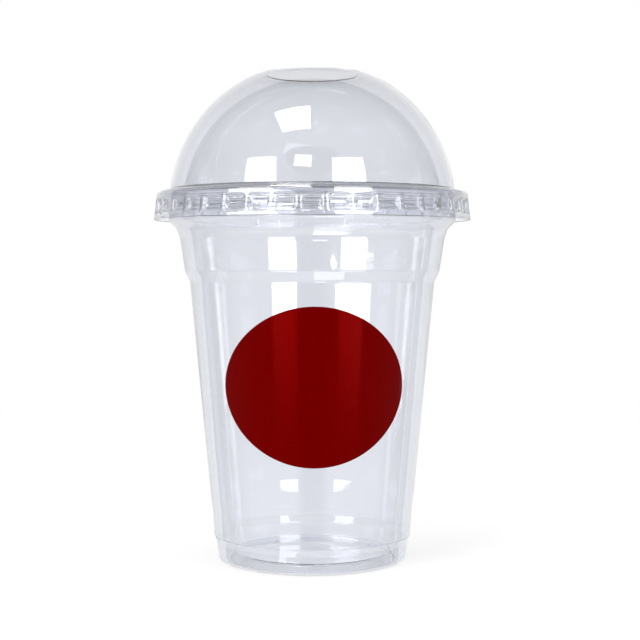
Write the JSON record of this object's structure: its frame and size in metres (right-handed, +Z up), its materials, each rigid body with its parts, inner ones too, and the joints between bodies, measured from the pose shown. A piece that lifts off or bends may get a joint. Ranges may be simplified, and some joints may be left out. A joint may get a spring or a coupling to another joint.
{
  "type": "plastic cup with lid",
  "caption": "Clear thin-walled cold-drink cup with a rolled rim and shoulder, a push-fit dome lid with a round straw hole, and a plain oval print.",
  "frame": {"origin": "on the cup's axis, in the plane that the foot ring stands on", "axes": "+Z up along the axis, from the foot to the straw hole; the print faces -Y"},
  "size_m": [0.1024, 0.1024, 0.1574],
  "materials": {
    "clear_cup": "clear, glossy, thermoformed",
    "clear_lid": "clear, glossy, thermoformed",
    "red_ink": "flat printed ink, satin"
  },
  "bodies": {
    "cup": {"cup": "clear_cup", "printed_oval": "red_ink"},
    "lid": {"lid": "clear_lid"}
  },
  "joints": [
    {"name": "lid_lift", "type": "slide", "parent": "cup", "child": "lid", "axis": [0, 0, 1], "range_m": [0, 0.06]}
  ]
}
